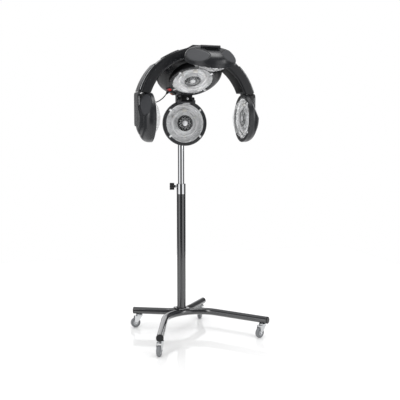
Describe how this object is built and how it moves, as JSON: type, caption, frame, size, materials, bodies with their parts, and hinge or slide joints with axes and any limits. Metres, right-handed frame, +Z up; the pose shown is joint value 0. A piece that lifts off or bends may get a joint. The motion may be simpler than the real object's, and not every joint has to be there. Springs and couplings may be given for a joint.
{
  "type": "hair color processor",
  "caption": "Salon hair color processor: round infrared lamp and fan heads on an arched hood, carried by a sliding chrome mast on a four-castor stand.",
  "frame": {"origin": "on the floor, on the mast's axis", "axes": "+Z up along the mast; -Y is the client's side, where the hood reaches out; +X to the right for someone who looks at the hood from the front"},
  "size_m": [0.6545, 0.7856, 1.394],
  "materials": {
    "stand_paint": "satin powder coat",
    "black_plastic": "fine grain",
    "chrome": "polished",
    "wheel_plastic": "smooth",
    "hinge_black": "satin",
    "shell_plastic": "satin anthracite",
    "strip_plastic": "half gloss",
    "reflector": "bright anodised",
    "lamp_glass": "frosted quartz",
    "lens_clear": "clear polycarbonate",
    "guard_black": "satin",
    "fan_plastic": "smooth",
    "panel_dark": "satin film",
    "key_down": "smooth",
    "key_start": "smooth",
    "key_up": "smooth",
    "lead_rubber": "matt"
  },
  "bodies": {
    "base": {"front_leg_tube": "stand_paint", "rear_leg_tube": "stand_paint", "leg_end_caps": "black_plastic", "hub_plate": "stand_paint", "column_tube": "stand_paint", "column_collar": "chrome"},
    "castor_left": {"castor_fork_left": "chrome"},
    "wheel_left": {"castor_wheel_left": "wheel_plastic"},
    "castor_front": {"castor_fork_front": "chrome"},
    "wheel_front": {"castor_wheel_front": "wheel_plastic"},
    "castor_right": {"castor_fork_right": "chrome"},
    "wheel_right": {"castor_wheel_right": "wheel_plastic"},
    "castor_rear": {"castor_fork_rear": "chrome"},
    "wheel_rear": {"castor_wheel_rear": "wheel_plastic"},
    "knob": {"clamp_knob": "black_plastic"},
    "mast": {"mast_tube": "chrome"},
    "carrier": {"mast_head": "hinge_black"},
    "hood": {"housing_bowl": "shell_plastic", "housing_cover": "shell_plastic", "rear_hinge_block": "hinge_black", "control_panel": "panel_dark", "crown_head_shell": "shell_plastic", "crown_reflector": "reflector", "crown_lamp_ring": "lamp_glass", "crown_lens": "lens_clear", "crown_fan_guard": "guard_black"},
    "left_arm": {"left_arm": "shell_plastic", "left_arm_cover": "strip_plastic", "left_head_lead": "lead_rubber"},
    "left_head": {"left_head_shell": "shell_plastic", "left_reflector": "reflector", "left_lamp_ring": "lamp_glass", "left_lens": "lens_clear", "left_fan_guard": "guard_black"},
    "right_arm": {"right_arm": "shell_plastic", "right_arm_cover": "strip_plastic"},
    "right_head": {"right_head_shell": "shell_plastic", "right_reflector": "reflector", "right_lamp_ring": "lamp_glass", "right_lens": "lens_clear", "right_fan_guard": "guard_black"},
    "front_head": {"front_arm": "shell_plastic", "front_head_shell": "shell_plastic", "front_reflector": "reflector", "front_lamp_ring": "lamp_glass", "front_lens": "lens_clear", "front_fan_guard": "guard_black"},
    "rear_head": {"rear_head_shell": "shell_plastic", "rear_reflector": "reflector", "rear_lamp_ring": "lamp_glass", "rear_lens": "lens_clear", "rear_fan_guard": "guard_black"},
    "rear_fan": {"rear_fan": "fan_plastic"},
    "crown_fan": {"crown_fan": "fan_plastic"},
    "front_fan": {"front_fan": "fan_plastic"},
    "left_fan": {"left_fan": "fan_plastic"},
    "right_fan": {"right_fan": "fan_plastic"},
    "key_down": {"key_down": "key_down"},
    "key_start": {"key_start": "key_start"},
    "key_up": {"key_up": "key_up"}
  },
  "joints": [
    {"name": "castor_left_swivel", "type": "hinge", "parent": "base", "child": "castor_left", "pos_m": [-0.20479, 0.08044, 0.064], "axis": [0, 0, 1], "continuous": true},
    {"name": "castor_left_roll", "type": "hinge", "parent": "castor_left", "child": "wheel_left", "pos_m": [-0.22471, 0.0787, 0.025], "axis": [-0.0872, 0.9962, 0], "continuous": true},
    {"name": "castor_front_swivel", "type": "hinge", "parent": "base", "child": "castor_front", "pos_m": [-0.20009, -0.37991, 0.064], "axis": [0, 0, 1], "continuous": true},
    {"name": "castor_front_roll", "type": "hinge", "parent": "castor_front", "child": "wheel_front", "pos_m": [-0.20948, -0.39757, 0.025], "axis": [-0.8829, 0.4695, 0], "continuous": true},
    {"name": "castor_right_swivel", "type": "hinge", "parent": "base", "child": "castor_right", "pos_m": [0.34281, -0.25856, 0.064], "axis": [0, 0, 1], "continuous": true},
    {"name": "castor_right_roll", "type": "hinge", "parent": "castor_right", "child": "wheel_right", "pos_m": [0.32515, -0.26795, 0.025], "axis": [-0.4695, 0.8829, 0], "continuous": true},
    {"name": "castor_rear_swivel", "type": "hinge", "parent": "base", "child": "castor_rear", "pos_m": [0.15105, 0.15998, 0.064], "axis": [0, 0, 1], "continuous": true},
    {"name": "castor_rear_roll", "type": "hinge", "parent": "castor_rear", "child": "wheel_rear", "pos_m": [0.14105, 0.14266, 0.025], "axis": [-0.866, 0.5, 0], "continuous": true},
    {"name": "clamp_knob_turn", "type": "hinge", "parent": "base", "child": "knob", "pos_m": [-0.02875, 0.00857, 0.731], "axis": [-0.9583, 0.2857, 0], "range_deg": [-180, 180]},
    {"name": "mast_slide", "type": "slide", "parent": "base", "child": "mast", "axis": [0, 0, 1], "range_m": [-0.15, 0.28]},
    {"name": "hood_turn", "type": "hinge", "parent": "mast", "child": "carrier", "pos_m": [0, 0, 1.13], "axis": [0, 0, 1], "range_deg": [-120, 120]},
    {"name": "hood_tilt", "type": "hinge", "parent": "carrier", "child": "hood", "pos_m": [0, 0, 1.205], "axis": [-1, 0, 0], "range_deg": [0, 25]},
    {"name": "left_arm_swing", "type": "hinge", "parent": "hood", "child": "left_arm", "pos_m": [-0.058, -0.262, 1.3508], "axis": [0, 1, 0], "range_deg": [0, 22]},
    {"name": "left_head_tilt", "type": "hinge", "parent": "left_arm", "child": "left_head", "pos_m": [-0.23529, -0.262, 1.2], "axis": [0, 1, 0], "range_deg": [0, 20]},
    {"name": "right_arm_swing", "type": "hinge", "parent": "hood", "child": "right_arm", "pos_m": [0.058, -0.262, 1.3508], "axis": [0, -1, 0], "range_deg": [0, 22]},
    {"name": "right_head_tilt", "type": "hinge", "parent": "right_arm", "child": "right_head", "pos_m": [0.23529, -0.262, 1.2], "axis": [0, -1, 0], "range_deg": [0, 20]},
    {"name": "front_head_flip", "type": "hinge", "parent": "hood", "child": "front_head", "pos_m": [0, -0.346, 1.364], "axis": [-1, 0, 0], "range_deg": [-10, 55]},
    {"name": "rear_head_tilt", "type": "hinge", "parent": "hood", "child": "rear_head", "pos_m": [0, -0.088, 1.158], "axis": [-1, 0, 0], "range_deg": [0, 20]},
    {"name": "rear_fan_spin", "type": "hinge", "parent": "rear_head", "child": "rear_fan", "pos_m": [0, -0.065, 1.046], "axis": [0, -1, 0], "continuous": true},
    {"name": "crown_fan_spin", "type": "hinge", "parent": "hood", "child": "crown_fan", "pos_m": [0, -0.20905, 1.24872], "axis": [0, -0.5299, -0.848], "continuous": true},
    {"name": "front_fan_spin", "type": "hinge", "parent": "front_head", "child": "front_fan", "pos_m": [0, -0.48713, 1.3141], "axis": [0, 0.342, -0.9397], "continuous": true},
    {"name": "left_fan_spin", "type": "hinge", "parent": "left_head", "child": "left_fan", "pos_m": [-0.23099, -0.294, 1.066], "axis": [1, 0, 0], "continuous": true},
    {"name": "right_fan_spin", "type": "hinge", "parent": "right_head", "child": "right_fan", "pos_m": [0.23099, -0.294, 1.066], "axis": [-1, 0, 0], "continuous": true},
    {"name": "key_down_press", "type": "slide", "parent": "hood", "child": "key_down", "axis": [-0.2346, -0.2325, -0.9439], "range_m": [-0.0008, 0], "stiffness_N_per_m": 400, "springref_m": 0.0005},
    {"name": "key_start_press", "type": "slide", "parent": "hood", "child": "key_start", "axis": [-0.2346, -0.2325, -0.9439], "range_m": [-0.0008, 0], "stiffness_N_per_m": 400, "springref_m": 0.0005},
    {"name": "key_up_press", "type": "slide", "parent": "hood", "child": "key_up", "axis": [-0.2346, -0.2325, -0.9439], "range_m": [-0.0008, 0], "stiffness_N_per_m": 400, "springref_m": 0.0005}
  ]
}
